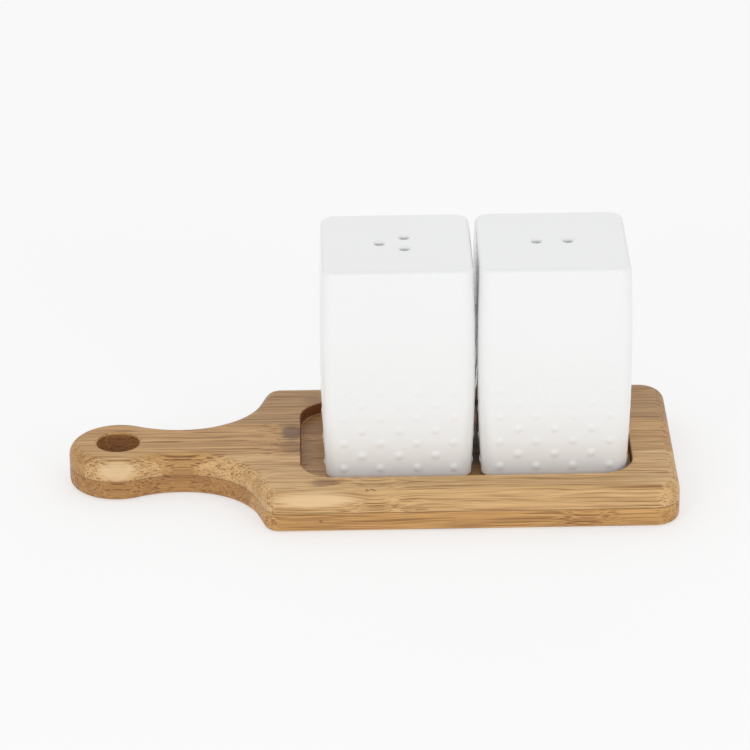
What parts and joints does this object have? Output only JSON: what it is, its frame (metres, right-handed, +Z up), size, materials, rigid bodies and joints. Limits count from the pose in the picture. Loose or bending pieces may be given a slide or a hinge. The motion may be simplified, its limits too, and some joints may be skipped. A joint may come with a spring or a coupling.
{
  "type": "salt and pepper set",
  "caption": "Two square white glazed shakers with raised dots, stoppers underneath, standing in the pocket of a paddle-shaped bamboo board with a hanging hole.",
  "frame": {"origin": "middle of the board's underside, halfway along its whole length", "axes": "+Z up, +X along the board from the handle to the square end, +Y towards the back of the set"},
  "size_m": [0.2006, 0.0832, 0.0844],
  "materials": {
    "bamboo": "oiled, satin",
    "white_glaze": "glossy white glaze",
    "silicone": "matt translucent white silicone"
  },
  "bodies": {
    "board": {"upper_strip_front": "bamboo", "upper_strip_centre": "bamboo", "upper_strip_back": "bamboo", "lower_strip_front": "bamboo", "lower_strip_inner_front": "bamboo", "lower_strip_inner_back": "bamboo", "lower_strip_back": "bamboo"},
    "pepper_stopper": {"pepper_stopper": "silicone"},
    "pepper_shaker": {"pepper_shaker": "white_glaze"},
    "salt_stopper": {"salt_stopper": "silicone"},
    "salt_shaker": {"salt_shaker": "white_glaze"}
  },
  "joints": [
    {"name": "pepper_lift", "type": "slide", "parent": "board", "child": "pepper_stopper", "axis": [0, 0, 1], "range_m": [0, 0.09]},
    {"name": "pepper_stopper_pull", "type": "slide", "parent": "pepper_stopper", "child": "pepper_shaker", "axis": [0, 0, 1], "range_m": [0, 0.014]},
    {"name": "salt_lift", "type": "slide", "parent": "board", "child": "salt_stopper", "axis": [0, 0, 1], "range_m": [0, 0.09]},
    {"name": "salt_stopper_pull", "type": "slide", "parent": "salt_stopper", "child": "salt_shaker", "axis": [0, 0, 1], "range_m": [0, 0.014]}
  ]
}
